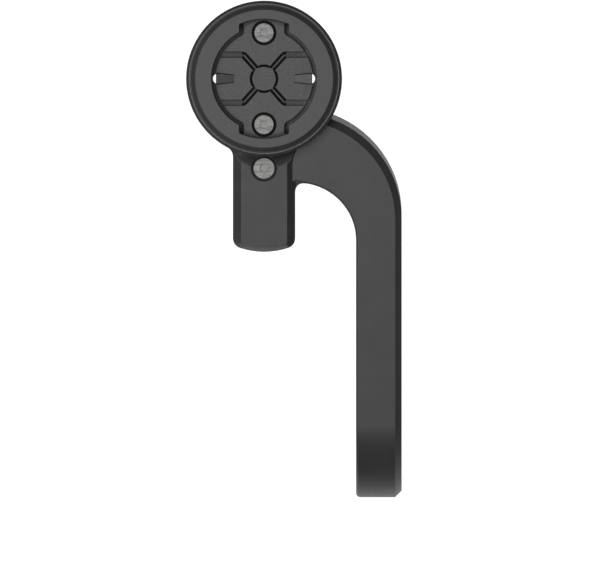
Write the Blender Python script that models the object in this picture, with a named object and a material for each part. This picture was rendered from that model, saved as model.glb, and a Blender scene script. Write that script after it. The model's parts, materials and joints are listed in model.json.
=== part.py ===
"""Out-front handlebar mount for a cycling computer.

A J-shaped arm clamps round a 31.8 mm handlebar beside the stem and carries a level round head in
front of it.  The head holds a quarter-turn socket with two sprung detent fingers, and the tongue
behind the head carries a three-prong adapter for a light or camera on its underside.

Frame: +X along the handlebar, +Y forward, +Z up.  The origin is on the handlebar's axis, half way
along the clamp.  The arm, the tongue and the clamp are tipped nose-up about the bar by PLATE_TILT,
and the head is level.  Lengths below are in millimetres and are scaled when a mesh is made.
"""
import math

import bmesh
import bpy
from mathutils import Matrix, Vector

MM = 0.001
GAP = 0.3                                   # between pieces that touch

# Handlebar clamp, in the tipped plate frame (x across, u forward, w up)
PLATE_TILT = math.radians(12.0)
BAR_R = 15.9                                # 31.8 mm handlebar
LINER = 0.8                                 # rubber between the bar and the clamp
BORE_R = BAR_R + LINER + GAP
CLAMP_R = 23.2                              # outside of the upper half, and the arm's top face
HALF_WIDTH = 5.91                           # half the width of arm and clamp
SPLIT = 0.4                                 # each half stops this far from the split plane
BOSS_FRONT = 28.0                           # front face of the bolt boss
JAW_R = 21.0
JAW_HALF = 5.6

# Rear hinge of the jaw
PIN_U = -20.0
PIN_R = 1.5
EAR_R = 3.2
EAR_HALF = 5.41                             # just inside the arm's sides
EAR_EDGE = 1.3                              # chamfer that keeps the ears behind the arm's edges
KNUCKLE_R = 3.25
KNUCKLE_HALF = 1.9

# Clamp bolt, up through the jaw's lug into the barrel nut
BOLT_U = 22.4
BOLT_R = 1.9
BOLT_TIP = 8.5
BOLT_HOLE_R = 2.6                           # through the upper half
LUG_HOLE_R = 2.4                            # through the jaw's lug
BOLT_SEAT = -5.0
BOLT_HEAD_R = 3.5
BOLT_HEAD = 4.0
WASHER_R = 3.9
WASHER = 0.8
NUT_W = 6.0                                 # height of the barrel nut's axis
NUT_R = 3.0
NUT_HALF = 5.0
NUT_BORE_R = 2.4
RETAINER_R = 3.4
RETAINER = 1.2

# Arm
ARM_LOW = 13.7                              # underside, so the arm is 9.5 mm thick
ARM_CHAMFER = 1.7                           # along the outer edge
ARM_ROUND = 0.65                            # along the inner edge
REAR_ROUND = 1.1                            # the same edge, down behind the bar
ARM_UNDER = 1.2                             # chamfers below
BORE_EDGE = 0.4                             # chamfers along the clamp's bore
HEEL_R = 3.0                                # underside, where the boss meets the arm
JOIN_LOW = 16.3                             # underside where the arm meets the tongue
ARM_END = (-29.5, 62.5, 81.5)               # where the arm's bar stops, inside tongue and head
ARM_END_LOW = 17.0
OUTER_CENTRE = (-21.99, 54.7)
OUTER_R = 27.9
INNER_CENTRE = (-21.1, 49.0)
INNER_R = 15.2
CORNER_R = 2.6                              # arm to tongue, and tongue to head on the left
CORNER_CHAMFERS = (0.9, 1.8, 2.4, 2.5, 2.5)  # along the arm's edge as it turns into the tongue

# Head
HEAD_X = -29.67
HEAD_Y = 85.02
HEAD_R = 20.17
HEAD_TOP = 43.86
HEAD_LOW = 33.8
HEAD_EDGE = 0.7                             # chamfer round the rim
HEAD_UNDER_EDGE = 1.0
CUP_R = 19.2
CUP_FLOOR = 38.3
WINDOW_IN = 9.0                             # D-shaped windows beside the spine
WINDOW_R = 16.8
WINDOW_HALF = 7.5

# Tongue and the spine that carries it under the head
TONGUE_HALF = 8.05
TONGUE_TOP = 24.6                           # height over the bar in the plate frame
TONGUE_END = 40.26
TONGUE_CHAMFER = 2.1
TONGUE_END_CHAMFER = 1.25
TONGUE_UNDER = 0.8
TONGUE_END_R = 20.0
PAD_Z = 28.0                                # level underside that the adapter bolts to
PAD_FRONT = 78.0
FILLET_TOP = 71.0                           # both side fillets end under the head by here
SPINE_FRONT = 99.5
SPINE_FRONT_Z = 34.2
SIDE_FILLET_R = 6.0                         # tongue to head on the arm's side, in plan
TONGUE_FLARE = 4.8                          # concave fillet between the head's wall and the tongue
FLARE_END = 0.5

# Quarter-turn socket
SOCKET_R = 18.95
SOCKET_TOP = 45.0
SOCKET_LOW = 38.6
SOCKET_CHAMFER = 1.14
LIP_R = 13.55
LIP_LOW = 43.2
UNDERCUT_R = 15.7
NOTCH_R = 15.56
NOTCH_HALF = 6.5
NOTCH_TIP_R = 1.0
NOTCH_CORNER_R = 0.6
NOTCH_BASE = ((6.0, 8.0), (9.0, 9.2))        # over the plateaus, where the cutter closes
PLATEAU_Z = 41.3
PLATEAU_R = 12.56
TRACK_Z = 39.4                              # floor of the C-shaped tab track
TRACK_R = 15.5
CHANNEL_Z = 40.4                            # floor of the straight channels
RIB_Z = 40.8                                # top of the thin ribs on the diagonals
ISLAND_HALF = 5.2
ISLAND_ROUND = 1.2
CHANNEL_IN = 5.4
CHANNEL_OUT = 7.05
CHANNEL_END = 5.3
TRACK_END = 13.75                           # middle of the track's round ends beside the notches
FORE_SLIT = ((5.7, 6.72), (5.0, 6.55), (4.43, 6.05))      # from a channel, round its corner
FORE_SLIT_TURN = 60                         # angle at which that slit meets the hub's ring
FLANK_SLIT_END = (5.6, 5.68)
SLIT = 0.7
SLIT_Z = 39.5
HUB_R = 3.38                                # middle of the ring groove round the hub

# Detent fingers
FINGER_ROOT = 8.06
FINGER_TIP = 12.3
FINGER_ROOT_HALF = 0.88
FINGER_TIP_HALF = 1.45
FINGER_ROOM = (0.25, 0.32)                  # beside the finger's root and tip
FINGER_RISE = 0.55
FINGER_THICK = 1.3
CRESCENT_R = 1.38
CRESCENT_TIP = 13.2

# Screws
SCREW_OFFSET = 11.87
SCREW_HEAD_R = 2.49
SCREW_SINK_R = 3.23
SCREW_SEAT = 39.7
SCREW_HEAD = 1.2
SCREW_R = 1.5
SCREW_HOLE_R = 1.8
TONGUE_SCREW_Y = 61.83
TONGUE_SCREW_HEAD_R = 2.72
TONGUE_SINK_R = 3.43
TONGUE_SEAT = 34.5
TONGUE_SCREW_HEAD = 2.5
THREAD_INSERT_R = 2.4
THREAD_INSERT_LOW = 35.3
THREAD_INSERT_TOP = 38.0

# Accessory adapter
PRONG_HALF = 7.7
PRONG_T = 3.0
PRONG_PITCH = 6.2
PRONG_R = 7.5
PRONG_Y = 51.0
PRONG_Z = 13.2
PRONG_HOLE_R = 2.65
FLANGE_CORNER_R = 4.5
FLANGE_FRONT_R = 2.0
FLANGE_TOP = PAD_Z - GAP
FLANGE_LOW = 23.7
FLANGE_REAR = 42.6
FLANGE_FRONT = 77.5
M3_NUT_R = 3.175
M3_NUT = 2.4
M3_NUT_LOW = 23.6                           # height of the captive nuts in the flange
SCREW_TIP = 22.6                            # of the two screws that reach those nuts
M5_NUT_R = 4.62
M5_NUT = 2.1
M5_BORE_R = 2.3
KEY_M3 = 1.15                               # socket sizes, as the radius to a corner
KEY_TONGUE = 1.44
KEY_BOLT = 1.73
THROUGH = 12.0                              # reach of cutters that pass right through

COS = math.cos(PLATE_TILT)
SIN = math.sin(PLATE_TILT)
UP = Vector((0, 0, 1))
ACROSS = Vector((1, 0, 0))
PLATE_UP = Vector((0, -SIN, COS))
PLATE_FORWARD = Vector((0, COS, SIN))

MATERIALS = {
    "anodised_black": ((0.030, 0.030, 0.031), 0.52, 0.35),
    "nylon_black": ((0.040, 0.040, 0.041), 0.58, 0.0),
    "stainless": ((0.52, 0.52, 0.51), 0.34, 1.0),
    "zinc_steel": ((0.45, 0.45, 0.44), 0.38, 1.0),
    "brass": ((0.62, 0.46, 0.20), 0.35, 1.0),
    "rubber": ((0.022, 0.022, 0.022), 0.85, 0.0),
}


def clear_scene():
    for old in list(bpy.data.objects):
        bpy.data.objects.remove(old)


def material(name):
    """Principled material, made once and then shared by name."""
    found = bpy.data.materials.get(name)
    if found:
        return found
    colour, roughness, metallic = MATERIALS[name]
    made = bpy.data.materials.new(name)
    made.use_nodes = True
    shader = made.node_tree.nodes["Principled BSDF"]
    shader.inputs["Base Color"].default_value = (*colour, 1.0)
    shader.inputs["Roughness"].default_value = roughness
    shader.inputs["Metallic"].default_value = metallic
    return made


# ---------------------------------------------------------------- frames and outlines

def plate(x, u, w):
    """World point of (across, forward, up) in the tipped plate frame."""
    return ACROSS * x + PLATE_FORWARD * u + PLATE_UP * w


def head(x, y, z):
    """World point of an offset from the head's axis, at height z."""
    return Vector((HEAD_X + x, HEAD_Y + y, z))


def on_plane(x, y, w):
    """World point straight above or below (x, y) on the plate frame's plane at height w."""
    return Vector((x, y, (w + y * SIN) / COS))


def arc(centre, radius, start, end, steps):
    """Points on an arc from start to end, in degrees, both ends included."""
    points = []
    for k in range(steps + 1):
        a = math.radians(start + (end - start) * k / steps)
        points.append((centre[0] + radius * math.cos(a), centre[1] + radius * math.sin(a)))
    return points


def angle(x, y):
    return math.degrees(math.atan2(y, x))


def mirror_y(outline):
    """The outline reflected in the X axis, in the reverse order."""
    return [(x, -y) for x, y in reversed(outline)]


# ---------------------------------------------------------------- mesh makers

def make(name, corners, faces, finish=None):
    """Object from points in millimetres, with its faces turned to point out."""
    shape = bmesh.new()
    made = [shape.verts.new(Vector(p) * MM) for p in corners]
    for face in faces:
        shape.faces.new([made[i] for i in face])
    bmesh.ops.remove_doubles(shape, verts=shape.verts, dist=1e-7)
    bmesh.ops.dissolve_degenerate(shape, edges=shape.edges, dist=1e-7)
    bmesh.ops.recalc_face_normals(shape, faces=shape.faces)
    mesh = bpy.data.meshes.new(name)
    shape.to_mesh(mesh)
    shape.free()
    mesh.shade_smooth()
    mesh.set_sharp_from_angle(angle=math.radians(28))
    made_object = bpy.data.objects.new(name, mesh)
    bpy.context.scene.collection.objects.link(made_object)
    if finish:
        mesh.materials.append(material(finish))
    return made_object


def skin(count, ring_count, open_rings, closed):
    """Quads between neighbouring rings of count points each, as index tuples."""
    faces = []
    for k in range(ring_count if closed else ring_count - 1):
        a = k * count
        b = ((k + 1) % ring_count) * count
        for i in range(count - 1 if open_rings else count):
            j = (i + 1) % count
            faces.append((a + i, a + j, b + j, b + i))
    return faces


def loft(name, rings, finish=None):
    """Skin through rings of equal length, capped at both ends."""
    count = len(rings[0])
    corners = [p for ring in rings for p in ring]
    faces = skin(count, len(rings), False, False)
    faces.append(tuple(range(count)))
    faces.append(tuple(range((len(rings) - 1) * count, len(rings) * count)))
    return make(name, corners, faces, finish)


def prism(name, outline, low, high, put, finish=None):
    """Outline extruded from low to high, where put(a, b, height) gives the world point."""
    return loft(name, [[put(a, b, h) for a, b in outline] for h in (low, high)], finish)


def turned(name, profile, base, axis, finish=None, steps=48):
    """Solid of revolution of (radius, height) points about an axis through base.

    A profile that starts and ends on the axis gets flat end faces, and any other one is a ring.
    """
    capped = profile[0][0] == 0
    if capped:
        profile = profile[1:-1]
    axis = axis.normalized()
    side = axis.orthogonal().normalized()
    other = axis.cross(side)
    rings = []
    for k in range(steps):
        a = 2 * math.pi * k / steps
        out = side * math.cos(a) + other * math.sin(a)
        rings.append([base + out * r + axis * h for r, h in profile])
    count = len(profile)
    corners = [p for ring in rings for p in ring]
    faces = skin(count, steps, capped, True)
    if capped:
        faces += [tuple(k * count + end for k in range(steps)) for end in (0, count - 1)]
    return make(name, corners, faces, finish)


def rod(name, radius, low, high, base, axis, finish=None, steps=32, bevel=0.0):
    """Plain round bar with chamfered ends."""
    profile = [(0, low), (radius - bevel, low), (radius, low + bevel)]
    profile += [(radius, high - bevel), (radius - bevel, high), (0, high)]
    return turned(name, profile, base, axis, finish, steps)


def hexagon(radius, turn=0.0):
    return arc((0, 0), radius, turn, turn + 300, 5)


def combine(target, tool, operation):
    """Boolean with a hidden tool object."""
    modifier = target.modifiers.new(tool.name, "BOOLEAN")
    modifier.operation = operation
    modifier.solver = "EXACT"
    modifier.object = tool
    tool.hide_render = True
    tool.display_type = "WIRE"


def add(target, *tools):
    for tool in tools:
        combine(target, tool, "UNION")


def cut(target, *tools):
    for tool in tools:
        combine(target, tool, "DIFFERENCE")


def set_origin(thing, point):
    """Move an object's origin to a world point without moving its shape."""
    place = point * MM
    thing.data.transform(Matrix.Translation(-place))
    thing.location = place


# ---------------------------------------------------------------- arm body

def arm_ring(outer, inner, put, low_out, low_in, high, under, f=ARM_ROUND, rounded=True):
    """Section of the arm: outer(d) and inner(d) give the edges, inset by d.

    The upper inner edge is f wide, and is either rounded or a plain chamfer.
    """
    c = ARM_CHAMFER
    corners = [(outer(0), low_out + under), (outer(0), high - c), (outer(c), high)]
    steps = 4
    for k in range(steps + 1):
        t = math.radians(90 * k / steps)
        across = 1 - math.sin(t) if rounded else 1 - k / steps
        down = 1 - math.cos(t) if rounded else k / steps
        corners.append((inner(f * across), high - f * down))
    corners += [(inner(0), low_in + under), (inner(under), low_in), (outer(under), low_out)]
    return [put(x, u, h) for (x, u), h in corners]


def straight_ring(u, low, under):
    return arm_ring(lambda d: (HALF_WIDTH - d, u), lambda d: (d - HALF_WIDTH, u), plate,
                    low, low, CLAMP_R, under)


def radial_ring(degrees):
    """Section of the clamp's rear quarter, in the plane through the bar's axis."""
    a = math.radians(degrees)
    behind = min(1.0, (degrees - 90) / 60)
    return arm_ring(lambda d: (HALF_WIDTH - d, 0), lambda d: (d - HALF_WIDTH, 0),
                    lambda x, _, h: plate(x, h * math.cos(a), h * math.sin(a)),
                    BORE_R, BORE_R, CLAMP_R, BORE_EDGE,
                    ARM_ROUND + (REAR_ROUND - ARM_ROUND) * behind)


def curve_ring(outer_angle, centre, radius, inner_angle, low_in, edge=ARM_ROUND):
    """Section of the J's curve, with the outer and inner edges on their own arcs."""
    a = math.radians(outer_angle)
    b = math.radians(inner_angle)
    ox, ou = OUTER_CENTRE

    def outer(d):
        return (ox + (OUTER_R - d) * math.cos(a), ou + (OUTER_R - d) * math.sin(a))

    def inner(d):
        return (centre[0] + (radius + d) * math.cos(b), centre[1] + (radius + d) * math.sin(b))

    return arm_ring(outer, inner, plate, ARM_LOW, low_in, CLAMP_R, ARM_UNDER, edge,
                    edge == ARM_ROUND)


def arm_rings():
    """Sections from the split face behind the bar, over it, forward and round the J."""
    split_angle = math.degrees(math.asin(SPLIT / BORE_R))
    rings = [radial_ring(180 - split_angle)]
    rings += [radial_ring(180 - 5 * k) for k in range(1, 19)]
    for k in range(1, 11):
        b = math.radians(90 - 9 * k) if k < 10 else math.radians(split_angle)
        rings.append(straight_ring(BORE_R * math.cos(b), BORE_R * math.sin(b), BORE_EDGE))
    rings.append(straight_ring(BOSS_FRONT - BORE_EDGE, SPLIT, BORE_EDGE))
    for k in range(5):
        t = math.radians(22.5 * k)
        rings.append(straight_ring(BOSS_FRONT + HEEL_R * (1 - math.cos(t)),
                                   ARM_LOW - HEEL_R * (1 - math.sin(t)), ARM_UNDER))
    # the small arc joins the inner arc to the tongue's side
    small_x = HEAD_X + TONGUE_HALF + CORNER_R
    dx = small_x - INNER_CENTRE[0]
    reach = INNER_R - CORNER_R
    small = (small_x, INNER_CENTRE[1] + math.sqrt(reach ** 2 - dx ** 2))
    meet = angle(dx, small[1] - INNER_CENTRE[1])
    turns = 18
    for k in range(turns + 1):
        t = k / turns
        rise = max(0.0, (t - 0.4) / 0.6)
        low_in = ARM_LOW + (JOIN_LOW - ARM_LOW) * rise * rise * (3 - 2 * rise)
        rings.append(curve_ring(90 * t, INNER_CENTRE, INNER_R, meet * t, low_in))
    for k, chamfer in enumerate(CORNER_CHAMFERS, 1):
        inner_angle = meet + (180 - meet) * k / len(CORNER_CHAMFERS)
        rings.append(curve_ring(90 + 2.4 * k, small, CORNER_R, inner_angle, JOIN_LOW, chamfer))
    end_x, near_y, far_y = ARM_END
    rings.append(arm_ring(lambda d: (end_x, far_y - d), lambda d: (end_x, near_y + d), plate,
                          ARM_LOW, ARM_END_LOW, CLAMP_R, ARM_UNDER))
    return rings


def head_fillet(radius):
    """Centre, and angle towards the head's axis, of a fillet from the tongue's right side."""
    across = TONGUE_HALF + radius
    drop = math.sqrt((HEAD_R + radius) ** 2 - across ** 2)
    return (HEAD_X + across, HEAD_Y - drop), angle(-across, drop)


def tongue_outline(inset, end_inset):
    """Plan outline of tongue and spine, with a fillet to the head's wall on each side."""
    half = TONGUE_HALF - inset
    corner = CORNER_R - inset
    big = (HEAD_X, TONGUE_END + TONGUE_END_R)
    big_r = TONGUE_END_R - end_inset
    across = half - corner
    down = math.sqrt((big_r - corner) ** 2 - across ** 2)
    corner_y = big[1] - down
    lean = angle(across, -down)
    left = (HEAD_X - across, corner_y)
    right = (HEAD_X + across, corner_y)
    (near_x, near_y), near_turn = head_fillet(CORNER_R)
    near = (2 * HEAD_X - near_x, near_y)
    far, far_turn = head_fillet(SIDE_FILLET_R)
    points = [(HEAD_X - half, SPINE_FRONT), (HEAD_X - half, PAD_FRONT)]
    points.append((HEAD_X - half - 0.2, FILLET_TOP))
    points += arc(near, CORNER_R + inset, 180 - near_turn, 0, 5)
    points += arc(left, corner, 180, 180 - lean, 5)
    points += arc(big, big_r, 180 - lean, 360 + lean, 8)[1:-1]
    points += arc(right, corner, lean, 0, 5)
    points += arc(far, SIDE_FILLET_R + inset, 180, far_turn, 7)
    points.append((HEAD_X + half + 0.2, FILLET_TOP))
    points += [(HEAD_X + half, PAD_FRONT), (HEAD_X + half, SPINE_FRONT)]
    return points


def tongue_floor(x, y, lift):
    """Point on the level pad, or on the slope that runs up to the head's underside."""
    slope = (SPINE_FRONT_Z - PAD_Z) / (SPINE_FRONT - PAD_FRONT)
    return Vector((x, y, PAD_Z + lift + max(0.0, y - PAD_FRONT) * slope))


def tongue_rings():
    plain = tongue_outline(0, 0)
    shelf = TONGUE_TOP - TONGUE_CHAMFER
    rings = [[tongue_floor(x, y, 0) for x, y in tongue_outline(TONGUE_UNDER, TONGUE_UNDER)]]
    rings.append([tongue_floor(x, y, TONGUE_UNDER) for x, y in plain])
    rings.append([on_plane(x, y, shelf) for x, y in plain])
    top = tongue_outline(TONGUE_CHAMFER, TONGUE_END_CHAMFER)
    rings.append([on_plane(x, y, TONGUE_TOP) for x, y in top])
    return rings


def head_blank():
    """Round puck of the head, before its cup is cut out."""
    under = HEAD_UNDER_EDGE
    profile = [(0, HEAD_LOW), (HEAD_R - under, HEAD_LOW), (HEAD_R, HEAD_LOW + under)]
    profile += [(HEAD_R, HEAD_TOP - HEAD_EDGE), (HEAD_R - HEAD_EDGE, HEAD_TOP), (0, HEAD_TOP)]
    return turned("head_blank", profile, head(0, 0, 0), UP, steps=96)


def flare(name, start, end, face, size):
    """Concave fillet from the head's wall down to the plate plane at height face."""
    bite = 0.04                             # sinks its two edges into the faces that they meet
    rings = []
    steps = 12
    for k in range(steps + 1):
        a = math.radians(start + (end - start) * k / steps)
        out = Vector((math.cos(a), math.sin(a), 0))
        radius = size(k / steps)
        lean = math.atan(out.y * SIN / COS)
        middle_r = HEAD_R - bite + radius
        foot = on_plane(*(head(0, 0, 0) + out * middle_r).xy, face - bite)
        middle = foot.z + radius / math.cos(lean)
        ring = []
        for i in range(7):
            t = math.pi - (math.pi / 2 + lean) * i / 6
            r = middle_r + radius * math.cos(t)
            ring.append(head(0, 0, 0) + out * r + UP * (middle - radius * math.sin(t)))
        toe = ring[-1]
        ring.append(toe + out * 0.05 - UP * 0.8)
        ring.append(head(0, 0, 0) + out * (HEAD_R - 0.5) + UP * (toe.z - 1.2))
        ring.append(head(0, 0, 0) + out * (HEAD_R - 0.5) + UP * middle)
        rings.append(ring)
    return loft(name, rings)


def window(side):
    """D-shaped window beside the spine, open below the socket's finger."""
    lean = angle(math.sqrt(WINDOW_R ** 2 - WINDOW_HALF ** 2), WINDOW_HALF)
    outline = [(WINDOW_IN, WINDOW_HALF), (WINDOW_IN, -WINDOW_HALF)]
    outline += arc((0, 0), WINDOW_R, -lean, lean, 8)
    name = "window_right" if side > 0 else "window_left"
    return prism(name, [(side * x, y) for x, y in outline], 20, 41, head)


def arm_body():
    body = loft("arm_body", arm_rings(), "anodised_black")
    add(body, loft("tongue_blank", tongue_rings()), head_blank())
    rise = TONGUE_FLARE - FLARE_END
    add(body, flare("tongue_flare", 249, 292, TONGUE_TOP,
                    lambda t: FLARE_END + rise * math.sin(math.pi * t) ** 0.5))
    pin = plate(0, PIN_U, 0)
    add(body, rod("ear_blank", EAR_R, -EAR_HALF, EAR_HALF, pin, ACROSS, bevel=EAR_EDGE))
    cut(body, rod("cup", CUP_R, CUP_FLOOR, SOCKET_TOP + 5, head(0, 0, 0), UP, steps=96))
    cut(body, window(-1), window(1))
    above = CUP_FLOOR + 4
    below = FLANGE_LOW - 4
    cut(body, rod("thread_insert_hole", THREAD_INSERT_R + GAP, THREAD_INSERT_LOW - GAP, above,
                  head(0, SCREW_OFFSET, 0), UP, steps=24))
    cut(body, rod("rear_hole", SCREW_HOLE_R, below, above, head(0, -SCREW_OFFSET, 0), UP, steps=24))
    tongue_screw = Vector((HEAD_X, TONGUE_SCREW_Y, 0))
    cut(body, rod("tongue_hole", SCREW_HOLE_R, below, TONGUE_SEAT + 1.5, tongue_screw, UP, steps=24))
    cut(body, rod("tongue_sink", TONGUE_SINK_R, TONGUE_SEAT, SOCKET_TOP + 5, tongue_screw, UP,
                  steps=32))
    cut(body, rod("hinge_slot", KNUCKLE_R + GAP, -KNUCKLE_HALF - GAP, KNUCKLE_HALF + GAP,
                  pin, ACROSS))
    cut(body, rod("body_pin_hole", PIN_R + GAP, -THROUGH, THROUGH, pin, ACROSS, steps=24))
    bolt = plate(0, BOLT_U, 0)
    cut(body, rod("bolt_hole", BOLT_HOLE_R, -2, BOLT_TIP + 3, bolt, PLATE_UP, steps=24))
    cut(body, rod("nut_hole", NUT_R + GAP, -THROUGH, THROUGH, plate(0, BOLT_U, NUT_W), ACROSS))
    return body


# ---------------------------------------------------------------- quarter-turn socket

def wall_fillet(wall, radius, small):
    """Centre and end angles of a fillet outside a circle, against the wall x = wall."""
    x = wall + small
    y = math.sqrt((radius + small) ** 2 - x ** 2)
    return (x, y), angle(x, y) + 180


def notch(side):
    """Cutter for one of the two notches that let the computer's tabs in."""
    tip, tip_angle = wall_fillet(NOTCH_HALF, LIP_R, NOTCH_TIP_R)
    small = NOTCH_CORNER_R
    end = (NOTCH_HALF - small, math.sqrt((NOTCH_R - small) ** 2 - (NOTCH_HALF - small) ** 2))
    end_angle = angle(*end)
    right = list(NOTCH_BASE)
    right += arc(tip, NOTCH_TIP_R, tip_angle, 180, 4)
    right += arc(end, small, 0, end_angle, 3)
    outline = right + arc((0, 0), NOTCH_R, end_angle, 90, 5)[1:]
    left = [(-x, y) for x, y in reversed(outline[:-1])]
    name = "notch_front" if side > 0 else "notch_rear"
    return prism(name, [(x, side * y) for x, y in outline + left], LIP_LOW - 0.8, SOCKET_TOP + 1,
                 head)


def track(side):
    """Cutter for the C-shaped track that the computer's tab turns in."""
    corner, corner_angle = wall_fillet(ISLAND_HALF, PLATEAU_R, ISLAND_ROUND)
    slot = (NOTCH_HALF - ISLAND_HALF) / 2
    half = arc((ISLAND_HALF + slot, TRACK_END), slot, 60, 180, 4)
    half += arc(corner, ISLAND_ROUND, 180, corner_angle, 4)
    half += arc((0, 0), PLATEAU_R, corner_angle - 180, 0, 10)[1:]
    first = angle(*half[0])
    outer = arc((0, 0), TRACK_R, -first + 2, first - 2, 24)
    outline = half[:-1] + mirror_y(half) + outer
    name = "track_right" if side > 0 else "track_left"
    return prism(name, [(side * x, y) for x, y in outline], TRACK_Z, PLATEAU_Z + 0.7, head)


def channels(side):
    """Cutters for the two straight channels on one side, each with the ribs' lowered strip."""
    tools = []
    reach = math.sqrt(PLATEAU_R ** 2 - CHANNEL_OUT ** 2) + 0.9
    for way in (1, -1):
        outline = [(CHANNEL_END, CHANNEL_OUT), (CHANNEL_END, CHANNEL_IN)]
        outline += [(reach, CHANNEL_IN), (reach, CHANNEL_OUT)]
        name = ("right" if side > 0 else "left") + ("_front" if way > 0 else "_rear")
        tools.append(prism("channel_" + name, [(side * x, way * y) for x, y in outline],
                           CHANNEL_Z, PLATEAU_Z + 0.8, head))
        strip = [FORE_SLIT[0], FLANK_SLIT_END] + arc((0, 0), HUB_R, 43, FORE_SLIT_TURN, 3)
        strip += [FORE_SLIT[2], FORE_SLIT[1]]
        tools.append(prism("rib_room_" + name, [(side * x, way * y) for x, y in strip],
                           RIB_Z, PLATEAU_Z + 0.9, head))
    return tools


def band(path, width):
    """Closed outline of a strip along a path."""
    left = []
    right = []
    for k, (x, y) in enumerate(path):
        ax, ay = path[max(k - 1, 0)]
        bx, by = path[min(k + 1, len(path) - 1)]
        length = math.hypot(bx - ax, by - ay)
        nx = -(by - ay) / length * width / 2
        ny = (bx - ax) / length * width / 2
        left.append((x + nx, y + ny))
        right.append((x - nx, y - ny))
    return left + right[::-1]


def slits():
    """Four deep slits round the hub that leave a thin rib on each diagonal."""
    tools = []
    fore = [(-x, y) for x, y in FORE_SLIT]
    fore += arc((0, 0), HUB_R, 180 - FORE_SLIT_TURN, FORE_SLIT_TURN, 6) + list(FORE_SLIT[::-1])
    end_x, end_y = FLANK_SLIT_END
    flank = [(end_x, end_y)] + arc((0, 0), HUB_R, 42, -42, 8) + [(end_x, -end_y)]
    for side in (1, -1):
        name = "front" if side > 0 else "rear"
        outline = [(x, side * y) for x, y in band(fore, SLIT)]
        tools.append(prism("slit_" + name, outline, SLIT_Z, PLATEAU_Z + 1, head))
        name = "right" if side > 0 else "left"
        outline = [(side * x, y) for x, y in band(flank, SLIT)]
        tools.append(prism("slit_" + name, outline, SLIT_Z, PLATEAU_Z + 1, head))
    return tools


def finger_slot(side):
    """Opening through the floor round a detent finger, with the crescent beyond its tip."""
    root = FINGER_ROOT - GAP
    tip = FINGER_TIP + GAP
    root_half = FINGER_ROOT_HALF + FINGER_ROOM[0]
    tip_half = FINGER_TIP_HALF + FINGER_ROOM[1]
    lean = math.degrees(math.acos((tip - CRESCENT_TIP + CRESCENT_R) / CRESCENT_R))
    outline = [(root, root_half), (root, -root_half), (tip, -tip_half)]
    outline += arc((CRESCENT_TIP - CRESCENT_R, 0), CRESCENT_R, -lean, lean, 6)
    outline.append((tip, tip_half))
    name = "finger_slot_right" if side > 0 else "finger_slot_left"
    return prism(name, [(side * x, y) for x, y in outline], SOCKET_LOW - 2, PLATEAU_Z + 1.1, head)


def mount_insert():
    profile = [(0, SOCKET_LOW), (SOCKET_R - 0.4, SOCKET_LOW), (SOCKET_R, SOCKET_LOW + 0.4)]
    profile += [(SOCKET_R, SOCKET_TOP - SOCKET_CHAMFER), (SOCKET_R - SOCKET_CHAMFER, SOCKET_TOP)]
    profile += [(LIP_R + 0.15, SOCKET_TOP), (LIP_R, SOCKET_TOP - 0.15), (LIP_R, LIP_LOW)]
    profile += [(UNDERCUT_R, LIP_LOW), (UNDERCUT_R, PLATEAU_Z), (0, PLATEAU_Z)]
    insert = turned("mount_insert", profile, head(0, 0, 0), UP, "nylon_black", steps=96)
    cut(insert, notch(1), notch(-1), track(1), track(-1))
    cut(insert, *channels(1), *channels(-1), *slits())
    cut(insert, finger_slot(1), finger_slot(-1))
    for name, y in (("front", SCREW_OFFSET), ("rear", -SCREW_OFFSET)):
        base = head(0, y, 0)
        cut(insert, rod(name + "_sink", SCREW_SINK_R, SCREW_SEAT, PLATEAU_Z + 1.2, base, UP,
                        steps=32))
        cut(insert, rod(name + "_pass", SCREW_HOLE_R, SOCKET_LOW - 2, SCREW_SEAT + 1, base, UP,
                        steps=24))
    return insert


def detent_finger(side):
    """Leaf that rises outward and clicks into the computer's foot."""
    name = "detent_finger_right" if side > 0 else "detent_finger_left"
    rings = []
    for x, half, lift in ((FINGER_ROOT, FINGER_ROOT_HALF, 0), (FINGER_TIP, FINGER_TIP_HALF, 1)):
        top = PLATEAU_Z + FINGER_RISE * lift
        low = PLATEAU_Z - FINGER_THICK + 0.1 * lift
        corners = ((-half, low), (half, low), (half, top), (-half, top))
        rings.append([head(side * x, y, z) for y, z in corners])
    leaf = loft(name, rings, "nylon_black")
    set_origin(leaf, head(side * FINGER_ROOT, 0, PLATEAU_Z - FINGER_THICK / 2))
    return leaf


# ---------------------------------------------------------------- screws and nuts

def socket_screw(name, base, head_r, seat, tall, tip, key):
    """Cap screw with a hexagon socket, pointing down from its seat."""
    low = seat + GAP
    top = low + tall
    profile = [(0, tip), (SCREW_R - 0.4, tip), (SCREW_R, tip + 0.4), (SCREW_R, low)]
    profile += [(head_r, low), (head_r, top - 0.2), (head_r - 0.2, top), (0, top)]
    screw = turned(name, profile, base, UP, "stainless", steps=32)
    recess = prism(name + "_key", hexagon(key), top - 0.6 * tall, top + 1,
                   lambda x, y, z: base + Vector((x, y, z)))
    cut(screw, recess)
    return screw


def hex_nut(name, radius, bore, low, high, base, axis, across, finish):
    side = axis.cross(across)
    nut = prism(name, hexagon(radius), low, high,
                lambda a, b, h: base + across * a + side * b + axis * h, finish)
    cut(nut, rod(name + "_bore", bore, low - 1, high + 1, base, axis, steps=24))
    return nut


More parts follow.
